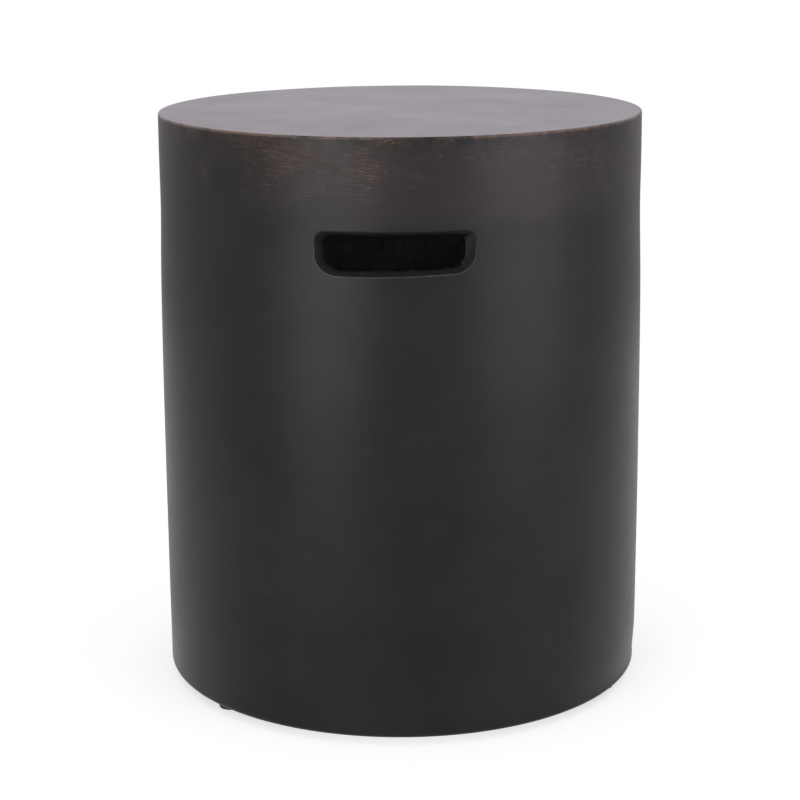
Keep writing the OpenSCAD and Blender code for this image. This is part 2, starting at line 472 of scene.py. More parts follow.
def cutHold(casting, own, outerWindow, innerWindow):
    turn = own["turn"]
    outerEdge = casting.windowEdge(*outerWindow)
    innerEdge = casting.windowEdge(*innerWindow)
    # seen from outside, the inner window runs the other way and starts a side later
    innerEdge = np.roll(innerEdge[::-1], hold["rowsAcross"] + 1)
    shares = list(np.linspace(0, 1, 5)) + list(np.linspace(1, 2, 9)[1:])
    ends = mouthProfile(hold["mouthEnd"], shares)
    sides = mouthProfile(hold["mouthSide"], shares)
    mouth = []
    for (growEnd, endDepth), (growSide, sideDepth) in zip(ends, sides):
        across, height, angles = holdOutline(own, growEnd, growSide)
        depth = endDepth * np.cos(angles) ** 2 + sideDepth * np.sin(angles) ** 2
        mouth.append(onWall(across, height, outerRadius(height) - depth, turn))
    chain = [outerEdge]
    steps = 1 - (1 - np.arange(1, 9) / 9) ** 1.7
    chain += blendRings(casting, outerEdge, mouth[0], outerRadius, turn, steps)
    for points, share in zip(mouth, shares):
        chain.append(casting.ring(points))
        casting.mark("mouth", chain[-1], share / 2)
    # the way through, with a small radius where it reaches the inside
    spin = Matrix.Rotation(math.radians(turn), 3, "Z")
    edgeR = hold["innerEdgeR"]
    bends = [(edgeR * (1 - math.cos(a)), edgeR * (1 - math.sin(a))) for a in np.radians((0, 30, 60, 90))]
    landing = []
    for grow, before in bends:
        across, height, angles = holdOutline(own, grow, grow)
        y = -np.sqrt(innerRadius(height) ** 2 - across ** 2) - before
        landing.append(np.transpose([across, y, height]) @ np.array(spin).T)
    through = [mouth[-1] + (landing[0] - mouth[-1]) * share for share in (0.25, 0.5, 0.75)]
    for points in through + landing:
        chain.append(casting.ring(points))
        casting.mark("mouth", chain[-1])
    chain += blendRings(casting, innerEdge, landing[-1], innerRadius, turn, (0.75, 0.5, 0.25))
    chain.append(innerEdge)
    for ring in chain[-5:-1]:
        casting.mark("bare", ring)
    for outer, inner in zip(chain, chain[1:]):
        casting.joinRings(outer, inner)


def drillPlugHole(casting, window, turn):
    edge = casting.windowEdge(*window)
    # the window's edge starts at its outer corner and runs inwards first
    around = math.radians(225) - 2 * np.pi * np.arange(plugHole["facets"]) / plugHole["facets"]
    side = plugHole["r"] * np.cos(around)
    inward = plugHole["r"] * np.sin(around)
    t = math.radians(turn)
    outward, tangent = np.array([math.sin(t), -math.cos(t)]), np.array([math.cos(t), math.sin(t)])
    flat = outward * (foot["r"] - inward)[:, None] + tangent * side[:, None]
    rings = [
        casting.ring(np.column_stack([flat, np.full(len(flat), height)]))
        for height in (drum["rimZ"], plugHole["top"])]
    casting.joinRings(edge, rings[0])
    casting.joinRings(rings[0], rings[1])
    casting.join(casting.ring([[*(outward * foot["r"]), plugHole["top"]]]), rings[1])


def castDrum():
    casting = Spun()
    columns = drum["columns"]
    topZ, rimZ, edgeR = drum["topZ"], drum["rimZ"], drum["topEdgeR"]
    # radii of the rows on the top, and how many points each has
    casting.disc([
        ((0,), 1), (np.linspace(4, 18, 4), columns // 8), (np.linspace(24, 48, 5), columns // 4),
        (np.linspace(56, 96, 6), columns // 2), (np.linspace(106, 184, 9), columns),
        ((188, 191), columns * 2), ((193.2, 194.6, 196, 197.2), columns * 4)], topZ)
    edgeTop = outerRadius(topZ - edgeR)
    casting.section(arc(edgeTop - edgeR, topZ - edgeR, edgeR, 90, 0, 7), columns * 4)
    for drops, count in (((0.8, 1.8, 3.0, 4.4), columns * 4), ((6.2, 8.4), columns * 2)):
        casting.wall(outerRadius, [topZ - edgeR - drop for drop in drops], count)
    # the wall: even rows, closer together across the hand holds
    halfBox = hold["rowsAcross"] * hold["rowPitch"] / 2
    boxTop, boxBase = drum["holdZ"] + halfBox, drum["holdZ"] - halfBox
    casting.wall(outerRadius, np.linspace(topZ - 13, boxTop, 6)[:-1], columns)
    outerFirst = len(casting.rows)
    casting.wall(outerRadius, np.linspace(boxTop, boxBase, hold["rowsAcross"] + 1), columns)
    outerLast = len(casting.rows) - 1
    baseEdge = drum["rimOuterR"]
    casting.wall(outerRadius, np.linspace(boxBase, rimZ + baseEdge, 50)[1:-1], columns)
    baseR = float(outerRadius(rimZ + baseEdge))
    casting.section(arc(baseR - baseEdge, rimZ + baseEdge, baseEdge, 0, -90, 7), columns)
    # the rim's underside has rows on both sides of the plug holes
    casting.disc([([foot["r"] + k for k in (8.5, 4.5, 0, -4.5, -8.5)], columns)], rimZ)
    drillFirst = len(casting.rows) - 4
    # the inside, from the rim up to the middle of the ceiling
    insideFirst = len(casting.rows)
    rimR, rimEdge, rimTop = drum["rimR"], drum["rimInnerR"], rimZ + drum["rimH"]
    slopeTop = rimTop + (innerRadius(rimTop) - rimR)
    slopeR = innerRadius(slopeTop)
    cut, bendR = drum["slopeCut"], drum["slopeBendR"]
    casting.section(arc(rimR + rimEdge, rimZ + rimEdge, rimEdge, -90, -180, 4), columns)
    casting.section(stretch((rimR, rimZ + rimEdge), (rimR, rimTop - cut), 4), columns)
    bend = arc(rimR + bendR, rimTop - cut, bendR, 180, 135, 3)
    slopeEnd = (slopeR - cut, slopeTop - cut)
    casting.section(bend + stretch(bend[-1], slopeEnd, 4), columns)
    casting.section([slopeEnd, (slopeR - 0.9, slopeTop + 0.4)], columns)
    casting.wall(innerRadius, np.linspace(slopeTop + cut, boxBase, 26)[:-1], columns)
    innerFirst = len(casting.rows)
    casting.wall(innerRadius, np.linspace(boxBase, boxTop, hold["rowsAcross"] + 1), columns)
    innerLast = len(casting.rows) - 1
    cove, ceiling = drum["coveR"], drum["ceilingZ"]
    casting.wall(innerRadius, np.linspace(boxTop, ceiling - cove, 5)[1:-1], columns)
    casting.section(arc(innerRadius(ceiling - cove) - cove, ceiling - cove, cove, 0, 90, 7), columns)
    casting.disc([
        (np.linspace(165, 105, 6), columns), (np.linspace(92, 56, 4), columns // 2),
        (np.linspace(44, 24, 3), columns // 4), ((14, 5), columns // 8), ((0,), 1)], ceiling)
    half = hold["halfColumns"]
    windows = []
    for own in holds:
        windows.append((outerFirst, outerLast, own["turn"], half))
        windows.append((innerFirst, innerLast, own["turn"], half))
    drills = [(drillFirst, drillFirst + 2, turn, plugHole["halfColumns"]) for turn in foot["turns"]]
    for row in casting.rows[insideFirst:]:
        casting.mark("bare", row)
    casting.joinRows(windows + drills)
    for own, outer, inner in zip(holds, windows[0::2], windows[1::2]):
        cutHold(casting, own, outer, inner)
    for window, turn in zip(drills, foot["turns"]):
        drillPlugHole(casting, window, turn)
    print("casting:", casting.total, "points")
    return casting.built("castDrum")


# Hand work on the casting: slow waves, small ripples and chips along the top edge
handWork = {
    "Wave Height": 0.30, "Wave Length": 150.0, "Ripple Height": 0.07, "Ripple Length": 38.0,
    "Inside Ripple": 0.35, "Chip Depth": 0.75, "Chip Size": 4.2, "Chip Reach": 3.0, "Seed": 4.0,
    "Taper Turn": 88.0, "Taper Depth": 1.7, "Taper Rise": 38.0,
    "Top Radius": drum["topR"], "Top Height": drum["topZ"], "Base Height": drum["rimZ"],
}


def workByHand(piece, paint, bare):
    inputs = {**handWork, "Material": paint, "Bare Material": bare}
    bench, given = geometryBench("handWorkTree", inputs)
    place = bench.scaled(bench.node("GeometryNodeInputPosition"), 1 / mm)
    x, y, z = bench.parts(place)
    radius = bench.root(x * x + y * y)
    seed = given["Seed"]
    top, base = given["Top Height"], given["Base Height"]
    waves = bench.noise(place, given["Wave Length"], seed, detail=1.0) * 2 - 1
    ripples = bench.noise(place, given["Ripple Length"], seed + 7, detail=2.0) * 2 - 1
    inside = bench.stored("bare")
    # near the top and the base the surface only moves inwards, so the size stays
    held = (z.between(base + 70, base + 5) + z.between(top - 60, top - 2)).least(1)
    rippleHeight = given["Ripple Height"] + given["Inside Ripple"] * inside
    shift = (waves - held) * given["Wave Height"] + (ripples - held) * rippleHeight
    across, down = radius - given["Top Radius"], z - top
    reach = bench.root(across * across + down * down)
    crumbs = bench.noise(place, given["Chip Size"], seed + 13, detail=2.0, rough=0.6)
    patches = bench.noise(place, 60.0, seed + 17, detail=1.0).between(0.45, 0.62)
    chip = crumbs.between(0.60, 0.72) * reach.between(given["Chip Reach"], 0.4) * patches
    shift = shift - given["Chip Depth"] * chip
    # one side of the base tapers in, and the underside stays flat for the feet
    normal = bench.node("GeometryNodeInputNormal")
    _, _, facing = bench.parts(normal)
    nearBase = z.between(base + 6, base + 2)
    turn = bench.maths("RADIANS", given["Taper Turn"])
    side = ((x * bench.maths("SINE", turn) - y * bench.cosine(turn)) / radius).between(0.35, 0.95)
    taper = given["Taper Depth"] * z.between(base + given["Taper Rise"], base) * side
    shift = (shift - taper * (1 - inside)) * (1 - nearBase * abs(facing)) * mm
    moved = bench.node("GeometryNodeSetPosition", {}, {
        "Geometry": given, "Offset": bench.scaled(normal, shift)})
    return grown(piece, bench, bench.store(moved, "chip", chip), inputs, given)


# Glass-fibre net: strands along and across, woven over and under each other
net = {"Pitch": 10.0, "Strand Width": 1.6, "Strand Thickness": 0.55, "Weave": 0.26}
netTrim = 6.0
netRise = net["Strand Thickness"] + net["Weave"]


def wovenLines(bench, strands, rounds):
    # two sets of straight lines on a flat grid one unit wide, where a point is on it, and
    # how far over or under the other set it goes; the sets lie opposite ways, by their lift
    sets = []
    for count, other, step, apart, lift in (
            (rounds * 2 + 1, strands, (0, 0.5, 0), (1, 0, 0), 1.0),
            (strands * 2 + 1, rounds + 1, (0.5, 0, 0), (0, 1, 0), -1.0)):
        line = bench.node("GeometryNodeMeshLine", {"mode": "OFFSET"}, {"Count": count, "Offset": step})
        starts = bench.node("GeometryNodeMeshLine", {"mode": "OFFSET"}, {"Count": other, "Offset": apart})
        copies = bench.node("GeometryNodeInstanceOnPoints", {}, {"Points": starts, "Instance": line})
        lines = bench.node("GeometryNodeRealizeInstances", {}, {"Geometry": copies})
        sets.append(bench.store(lines, "lift", lift))
    joined = bench.node("GeometryNodeJoinGeometry", {}, {"Geometry": sets})
    across, along, _ = bench.parts(bench.node("GeometryNodeInputPosition"))
    woven = bench.stored("lift") * bench.cosine(across * math.pi) * bench.cosine(along * math.pi)
    return joined, across, along, woven


def netPiece(name, bench, given, inputs, lines, away, cut):
    # deletes what is cut, then gives each line its flat section; away points off the wall
    feeds = {"Geometry": lines, "Selection": cut}
    kept = bench.node("GeometryNodeDeleteGeometry", {"domain": "POINT"}, feeds)
    curves = bench.node("GeometryNodeMeshToCurve", {}, {"Mesh": kept})
    turned = bench.node("GeometryNodeSetCurveNormal", {"mode": "FREE"}, {"Curve": curves, "Normal": away})
    loop = bench.node("GeometryNodeCurvePrimitiveCircle", {}, {"Resolution": 4, "Radius": mm})
    half = bench.vector(given["Strand Thickness"] / 2, given["Strand Width"] / 2, 1.0)
    section = bench.node("GeometryNodeTransform", {}, {"Geometry": loop, "Scale": half})
    strands = bench.node("GeometryNodeCurveToMesh", {}, {
        "Curve": turned, "Profile Curve": section, "Fill Caps": True})
    return grown(added(name, bpy.data.meshes.new(name)), bench, strands, inputs, given)


def layWallNet(material):
    low = drum["rimZ"] + drum["rimH"] + (drum["baseR"] - drum["baseWallT"] - drum["rimR"]) + netTrim
    high = drum["ceilingZ"] - drum["coveR"]
    inputs = {
        **net, "Strands": 2 * round(math.pi * innerRadius(high) / net["Pitch"]),
        "Rounds": int((high - low) / net["Pitch"]), "Low Height": low, "High Height": high,
        "Low Radius": innerRadius(low) - netRise, "High Radius": innerRadius(high) - netRise,
        "Window Height": drum["holdZ"], "Window Half Width": hold["width"] / 2 + netTrim,
        "Window Half Height": hold["height"] / 2 + netTrim, "Material": material}
    bench, given = geometryBench("wallNetTree", inputs)
    lines, across, along, woven = wovenLines(bench, given["Strands"], given["Rounds"])
    turn = across * 2 * math.pi / given["Strands"]
    height = given["Low Height"] + along * given["Pitch"]
    share = (height - given["Low Height"]) / (given["High Height"] - given["Low Height"])
    radius = given["Low Radius"] + (given["High Radius"] - given["Low Radius"]) * share
    radius = (radius + woven * given["Weave"]) * mm
    rolled = bench.spot(radius, turn, height * mm)
    wall = bench.node("GeometryNodeSetPosition", {}, {"Geometry": lines, "Position": rolled})
    wall = bench.node("GeometryNodeMergeByDistance", {}, {"Geometry": wall, "Distance": 0.02 * mm})
    x, y, z = bench.parts(bench.node("GeometryNodeInputPosition"))
    aside = abs(x) / mm / given["Window Half Width"]
    above = abs(z / mm - given["Window Height"]) / given["Window Half Height"]
    window = bench.maths("LESS_THAN", aside ** 6 + above ** 6, 1.0)
    away = bench.vectors("NORMALIZE", bench.vector(x, y))
    return netPiece("wallNet", bench, given, inputs, wall, away, window)


def layTopNet(material):
    reach = innerRadius(drum["ceilingZ"]) - drum["coveR"]
    inputs = {
        **net, "Rounds": 2 * int(reach / net["Pitch"]), "Reach": reach,
        "Height": drum["ceilingZ"] - netRise, "Material": material}
    bench, given = geometryBench("topNetTree", inputs)
    rounds = given["Rounds"]
    lines, across, along, woven = wovenLines(bench, rounds + 1, rounds)
    height = given["Height"] + woven * given["Weave"]
    pitch = given["Pitch"] * mm
    flat = bench.vector((across - rounds / 2) * pitch, (along - rounds / 2) * pitch, height * mm)
    laid = bench.node("GeometryNodeSetPosition", {}, {"Geometry": lines, "Position": flat})
    x, y, _ = bench.parts(bench.node("GeometryNodeInputPosition"))
    outside = bench.maths("GREATER_THAN", bench.root(x * x + y * y) / mm, given["Reach"])
    return netPiece("topNet", bench, given, inputs, laid, (0.0, 0.0, 1.0), outside)


# Feet: each kind of piece is spun once, then a tree seats it at the three places
pad = {"topR": 11.0, "baseR": 9.5, "edgeR": 0.8, "web": 2.0, "recessR": 5.8, "holeR": 2.1}
washer = {"r": 5.5, "thickness": 1.0, "edgeR": 0.25}
screw = {"r": 2.0, "length": 25.0, "point": 5.0, "headR": 3.8, "headHeight": 2.2, "pitch": 1.4,
         "threadDepth": 0.55, "neck": 3.0, "crossWidth": 1.0, "crossLength": 4.6, "crossDepth": 1.2}


def spun(name, section, columns, closed=False, reshape=None):
    turned = Spun()
    turned.section(section, columns)
    turned.joinRows(closed=closed)
    return turned.built(name, reshape)


def padShape():
    top, small = foot["height"], 0.3
    section = [(pad["holeR"], top), (pad["topR"] - 1.2, top)]
    section += arc(pad["topR"] - small, top - small, small, 90, 0, 3)
    section += arc(pad["baseR"] - pad["edgeR"], pad["edgeR"], pad["edgeR"], 0, -90, 5)
    section += arc(pad["recessR"] + small, small, small, -90, -180, 3)
    section += [(pad["recessR"], top - pad["web"] - small), (pad["recessR"] - small, top - pad["web"]),
                (pad["holeR"], top - pad["web"])]
    return spun("footPads", section, 96, closed=True)


def washerShape():
    base = foot["height"] - pad["web"] - washer["thickness"]
    top, edge, hole = base + washer["thickness"], washer["edgeR"], pad["holeR"]
    section = arc(washer["r"] - edge, top - edge, edge, 90, 0, 3)
    section += arc(washer["r"] - edge, base + edge, edge, 0, -90, 3)
    section += arc(hole + edge, base + edge, edge, -90, -180, 3)
    section += arc(hole + edge, top - edge, edge, 180, 90, 3)
    return spun("footWashers", section, 64, closed=True)


def screwShape():
    seat = foot["height"] - pad["web"] - washer["thickness"]
    tip, rows = seat + screw["length"], 170
    shank = []
    for height in np.linspace(tip, seat, rows):
        taper = min(1.0, (tip - height) / screw["point"])
        shank.append((screw["r"] * taper, height))
    head, crown = screw["headR"], screw["headHeight"]
    section = shank + [(head - 0.3, seat)] + arc(head - crown, seat, crown, 0, -90, 8)
    flat = head - crown
    section += [(flat * k / 7, seat - crown) for k in range(6, -1, -1)]
    pitch, depth = screw["pitch"], screw["threadDepth"]

    def threaded(points):
        x, y, z = points.T
        radius = np.hypot(x, y)
        turn = np.arctan2(y, x) / (2 * np.pi)
        # a sharp ridge that climbs one pitch each turn, fading out at the neck and the tip
        wave = np.abs((z / pitch - turn) % 1 - 0.5) * 2
        groove = depth * np.clip(wave * 1.6 - 0.1, 0, 1)
        onShank = (z > seat + screw["neck"]) & (z < tip) & (radius > 0)
        fade = np.clip((z - seat - screw["neck"]) / 1.5, 0, 1) * np.clip(radius / screw["r"], 0, 1)
        kept = np.where(onShank, 1 - groove * fade / np.maximum(radius, 0.1), 1)
        x, y = x * kept, y * kept
        width, length = screw["crossWidth"] / 2, screw["crossLength"] / 2
        arm = np.maximum(np.abs(x), np.abs(y))
        thin = np.minimum(np.abs(x), np.abs(y))
        sunk = np.clip((width - thin) / 0.15, 0, 1) * np.clip((length - arm) / 0.4, 0, 1)
        z = np.where(z < seat - 0.01, z + screw["crossDepth"] * sunk, z)
        return np.column_stack([x, y, z])

    return spun("footScrews", section, 48, reshape=threaded)


def seatAtFeet(piece, material, ownTurn=0.0):
    left, right, back = foot["turns"]
    inputs = {"Left Turn": float(left), "Right Turn": float(right), "Back Turn": float(back),
              "Circle Radius": foot["r"], "Own Turn": ownTurn, "Material": material}
    bench, given = geometryBench(piece.name + "Tree", inputs)
    index = bench.node("GeometryNodeInputIndex")
    first, second, third = (given[name] for name in ("Left Turn", "Right Turn", "Back Turn"))
    degrees = first + (second - first) * index.clamped() + (third - second) * (index - 1).clamped()
    turn = bench.maths("RADIANS", degrees)
    place = bench.spot(given["Circle Radius"] * mm, turn)
    places = bench.node("GeometryNodePoints", {}, {"Count": len(foot["turns"]), "Position": place})
    own = bench.maths("RADIANS", given["Own Turn"]) * (index + 1)
    spin = bench.vector(z=turn + own)
    seated = bench.node("GeometryNodeInstanceOnPoints", {}, {
        "Points": places, "Instance": given, "Rotation": spin})
    return grown(piece, bench, seated, inputs, given)


# Finish of the casting: near-black wash, bronze dry-brushed round the top, worn along the edge; painted
# sheen on top, painted shade in chips and holds, painted highlight on the holds' lips
wash = {
    "charcoal": colour(0.0058, 0.0060, 0.0074), "charcoalPale": colour(0.0098, 0.0090, 0.0106),
    "brownCloud": colour(0.0170, 0.0120, 0.0105), "bronzeHaze": colour(0.0225, 0.0150, 0.0132),
    "veil": colour(0.026, 0.021, 0.024), "bronze": colour(0.112, 0.066, 0.045),
    # the top's two tints are its mottling made paler than the charcoal: painted sheen
    "tan": colour(0.33, 0.22, 0.15), "topCool": colour(0.028, 0.024, 0.033),
    "topWarm": colour(0.050, 0.035, 0.036), "wornEdge": colour(0.200, 0.138, 0.108),
    # the chips' near-black tint is painted shade; the holds' pale lip tint is a painted highlight
    "chipDark": colour(0.012, 0.010, 0.009), "lip": colour(0.075, 0.074, 0.080),
    # painted shade inside the hand holds, darkest deep in, and a mottle that is paler as painted light at
    # their right ends
    "soot": colour(0.0190, 0.0185, 0.0195), "sootDeep": colour(0.0022, 0.0021, 0.0020),
    "smear": colour(0.042, 0.042, 0.046),
    "gloss": 1.30, "roughness": 0.34, "topRoughness": 0.265, "sootRoughness": 0.9, "sootShine": 0.12,
    # depth of the brushed band, width of the worn edge, and how far the rubbing and the dashes reach down
    "bandDepth": 60.0, "edgeWidth": (3.0, 0.9), "rubDepth": (14.0, 1.5), "dashDepth": (9.0, 2.5),
    # where hands and cloths rubbed most, where the veil lies and where the edge was spared, in
    # millimetres to the right of the middle or down from the top: start, full, fading, end
    "rubbedLeft": (-135, -80, -35, 40), "rubbedRight": (45, 90, 115, 170),
    "veilAcross": (-70, -10, 140, 195), "veilDown": (3, 16, 56, 78), "spared": (-30, 0, 35, 60),
}
# its noises: width of a blob, or the three widths, in millimetres, then seed, detail and roughness
washNoise = {
    "cloud": (70.0, 1.0, 4.0, 0.6), "fine": (9.0, 2.0, 4.0, 0.65), "brown": (110.0, 3.0, 3.0, 0.5),
    "streaks": ((19.0, 19.0, 0.8), 4.0, 4.0, 0.75), "crossing": ((7.0, 7.0, 1.2), 5.0, 4.0, 0.65),
    "patch": (55.0, 6.0, 3.0, 0.6), "strokes": ((34.0, 9.0, 20.0), 7.0, 4.0, 0.65),
    "wear": (22.0, 8.0, 4.0, 0.7), "sparse": (7.0, 9.0, 2.0, 0.5), "peel": (3.2, 10.0, 3.0, 0.6),
    "pitted": (14.0, 11.0, 2.0, 0.5), "scuff": (34.0, 12.0, 5.0, 0.75),
    "topCloud": (95.0, 13.0, 3.0, 0.55), "dashes": ((2.6, 2.6, 1.0), 14.0, 3.0, 0.65),
    "fleck": ((3.4, 3.4, 1.2), 15.0, 3.0, 0.65),
}


def paintedConcrete():
    material, bench, place = shaderBench("paintedConcrete")

    def noise(name, slope=0.0):
        # a slope leans the pattern along the wall
        leant = bench.vectors("ADD", place, bench.vector(z=x * slope)) if slope else place
        return bench.noise(leant, *washNoise[name])

    def named(attribute):
        return bench.node("ShaderNodeAttribute", {"attribute_name": attribute}, {}, out="Fac")

    x, y, z = bench.parts(place)
    across, down = bench.root(x * x + y * y) - drum["topR"], drum["topZ"] - z
    onTop = down.between(1.9, 0.9) * across.between(-0.4, -1.8)
    offTop = 1 - onTop
    cloud, fine, patch, wear = (noise(name) for name in ("cloud", "fine", "patch", "wear"))
    brown = noise("brown").between(0.48, 0.68) * fine.between(0.3, 0.7)
    # the dry-brushed band: a brown haze, fine streaks round the drum and fainter ones across them
    edgeDepth = wash["bandDepth"] * (0.50 + 0.9 * patch)
    band = down.between(1.0, 14.0) * (down / edgeDepth).between(1.2, 0.45)
    heavy = x.within(*wash["rubbedLeft"]) + 0.6 * x.within(*wash["rubbedRight"])
    haze = band * (0.12 + 0.38 * patch.between(0.40, 0.62) + 0.62 * heavy).least(1)
    veil = down.within(*wash["veilDown"]) * x.within(*wash["veilAcross"])
    streaks = noise("streaks", 0.10)
    rubbing = noise("scuff") + heavy * 0.14 - 0.05
    brushed = streaks.between(0.46, 0.66) * rubbing.between(0.44, 0.62) * band
    crossed = noise("crossing", 0.9).between(0.52, 0.70) * rubbing.between(0.50, 0.66) * band
    fleck = noise("fleck").between(0.60, 0.70) * band * rubbing.between(0.48, 0.60)
    # the top: cool and warm clouds with fine strokes, in tints paler than the wall's charcoal that paint
    # in the top's sheen
    topCloud, strokes = noise("topCloud"), noise("strokes")
    warmth = (topCloud.between(0.40, 0.62) * 0.75 + strokes.between(0.45, 0.70) * 0.35).least(1)
    # worn edge, rubbed bronze and dashes under it, and chips, painted near black as their shade
    reach = bench.root(across * across + down * down)
    edge = reach.between(*wash["edgeWidth"]) * (0.12 + 0.88 * wear.between(0.38, 0.58))
    edge = edge * (0.85 - 0.7 * x.within(*wash["spared"]))
    rub = down.between(*wash["rubDepth"]) * offTop * wear.between(0.42, 0.60) * (0.35 + 0.65 * streaks)
    dashes = noise("dashes").between(0.58, 0.68) * wear.between(0.46, 0.58)
    dashes = dashes * down.between(*wash["dashDepth"]) * offTop
    chip = named("chip")
    # a few pale grains, most of them in the band
    grains = bench.cells(place, 2.2).between(0.22, 0.10) * noise("sparse").between(0.66, 0.72)
    # hand holds: a pale line on the lower lip as painted highlight, then matt with painted shade, darkest
    # above and at the left end
    mouth = named("mouth")
    # the lip: a pale, patchy line, painted highlight where the lower lip's rounding turns up to the light
    lip = mouth.within(0.04, 0.16, 0.20, 0.42) * (drum["holdZ"] - z).between(-12.0, 4.0)
    soot = mouth.between(0.30, 0.62)
    above = (z - drum["holdZ"]).between(4.0, 13.0)
    # the top's tint lies between its two tints, paler than the wall as painted sheen
    tints = {**wash, "top": bench.mixed(warmth, wash["topCool"], wash["topWarm"])}
    base = wash["charcoal"]
    for share, tint in (
            (cloud.between(0.35, 0.70), "charcoalPale"), (brown * 0.6, "brownCloud"),
            (haze * 0.85, "bronzeHaze"), (veil * 0.6, "veil"),
            ((brushed * 0.62 + crossed * 0.42).least(1), "bronze"), (fleck * 0.45, "tan"),
            (onTop, "top"), (edge, "wornEdge"), (rub * 0.30, "bronze"), (dashes * 0.65, "tan"),
            (chip.between(0.35, 0.8), "chipDark"), ((grains * (0.12 + 0.5 * band)).least(0.6), "tan"),
            (lip * (0.35 + 0.65 * fine.between(0.35, 0.6)), "lip")):
        base = bench.mixed(share, base, tints[tint])
    holdShadeTone = wash["soot"]
    # the holds' mouths: painted shade, deepest far in, on the upper side and at the left end; mottled,
    # paler at the right end as painted light
    for share, tint in (
            (mouth.between(0.55, 1.0), "sootDeep"), (fine.between(0.50, 0.66) * 0.5, "smear"),
            (x.between(-44, -56).most(above) * 0.75, "sootDeep"),
            (x.between(40, 54) * fine.between(0.36, 0.56) * 0.7, "smear")):
        holdShadeTone = bench.mixed(share, holdShadeTone, wash[tint])
    handled = z.between(drum["holdZ"] - 120, drum["holdZ"] - 40) * offTop
    topRough = (topCloud - 0.5) * 0.08 + (strokes - 0.5) * 0.03
    roughness = wash["roughness"] + onTop * (wash["topRoughness"] - wash["roughness"] + topRough)
    roughness = roughness + (cloud - 0.5) * 0.10 + (fine - 0.5) * 0.08 * offTop
    roughness = roughness + (brushed + handled) * 0.08 + 0.2 * chip + soot * (0.42 + 0.15 * fine)
    # surface: faint orange peel, brush marks in the band, a few pinholes
    peel = noise("peel")
    pinhole = bench.cells(place, 9.0).between(0.085, 0.03) * noise("pitted").between(0.5, 0.6)
    height = (peel * 0.5 + fine * 0.4) * (1 - 0.93 * onTop) + streaks * band * 0.5
    height = height - pinhole * (1 - 0.9 * onTop) * 1.6 + soot * peel
    surface = bench.bump(height, 0.08 * mm, 0.6)
    paint = bench.node("ShaderNodeBsdfPrincipled", {}, {
        "Base Color": base, "Roughness": roughness.least(0.9), "IOR": wash["gloss"], "Normal": surface})
    # the matt shader that carries the painted shade in the holds' mouths
    dull = bench.node("ShaderNodeBsdfPrincipled", {}, {
        "Base Color": holdShadeTone, "Roughness": wash["sootRoughness"], "IOR": wash["gloss"],
        "Specular IOR Level": wash["sootShine"], "Normal": surface})
    cover = soot * (mouth.between(0.40, 0.95) + above * 0.4).least(1)
    finish = bench.node("ShaderNodeMixShader", {}, {0: cover, 1: paint, 2: dull})
    bench.node("ShaderNodeOutputMaterial", {}, {"Surface": finish})
    return material


# The other finishes, each with its own tints
mould = {
    "dark": colour(0.400, 0.390, 0.365), "pale": colour(0.500, 0.488, 0.460),
    # the bubbles' dark tint is painted shade in the pits
    "grit": colour(0.56, 0.55, 0.52), "bubble": colour(0.16, 0.155, 0.145), "roughness": 0.82,
}
glass = {
    "resin": colour(0.46, 0.45, 0.41), "fibre": colour(0.60, 0.59, 0.54),
    "slurry": colour(0.440, 0.430, 0.405), "roughness": 0.55,
}
tread = {"deep": colour(0.010, 0.010, 0.0105), "bloom": colour(0.022, 0.021, 0.020), "roughness": 0.72}
plated = {
    "washerSteel": colour(0.62, 0.62, 0.61), "screwSteel": colour(0.66, 0.64, 0.58),
    "stain": colour(0.30, 0.27, 0.23), "roughness": 0.30,
}
moulded = {"dark": colour(0.36, 0.37, 0.39), "pale": colour(0.46, 0.47, 0.48), "roughness": 0.42}


def bareConcrete():
    # the inside as it left the mould: pale grey, dull, with bubbles painted darker as their shade, and
    # trowel drag
    material, bench, place = shaderBench("bareConcrete")
    cloud = bench.noise(place, 55.0, 21.0, detail=5.0, rough=0.65)
    grain = bench.noise(place, 2.4, 22.0, detail=4.0, rough=0.7)
    base = bench.mixed(cloud.between(0.3, 0.7), mould["dark"], mould["pale"])
    base = bench.mixed(grain.between(0.55, 0.75) * 0.5, base, mould["grit"])
    bubble = bench.cells(place, 6.0).between(0.22, 0.08)
    bubble = bubble * bench.noise(place, 20.0, 23.0).between(0.45, 0.6)
    base = bench.mixed(bubble * 0.6, base, mould["bubble"])
    drag = bench.noise(place, (7.0, 7.0, 28.0), 24.0 / 7, detail=3.0)
    height = grain * 0.5 + drag - bubble * 1.5
    coated(bench, base, mould["roughness"] + 0.12 * (grain - 0.5), height, 0.35, 0.8, gloss=1.45)
    return material


def glassNet():
    # resin-soaked strands, greyed by the slurry that they are bedded in
    material, bench, place = shaderBench("glassNet")
    fibres = bench.noise(place, 2 / 3, 31.0 / 6, detail=3.0)
    slurry = bench.noise(place, 30.0, 32.0, detail=5.0, rough=0.65)
    base = bench.mixed(fibres.between(0.3, 0.7), glass["resin"], glass["fibre"])
    base = bench.mixed(slurry.between(0.26, 0.44), base, glass["slurry"])
    coated(bench, base, glass["roughness"] + 0.25 * slurry, fibres, 0.15, 0.7)
    return material


def footRubber():
    material, bench, place = shaderBench("footRubber")
    bloom = bench.noise(place, 6.0, 41.0, detail=4.0, rough=0.6)
    grain = bench.noise(place, 0.7, 42.0)
    base = bench.mixed(bloom.between(0.4, 0.7), tread["deep"], tread["bloom"])
    coated(bench, base, tread["roughness"] + 0.14 * (bloom - 0.5), grain, 0.05, 0.6)
    return material


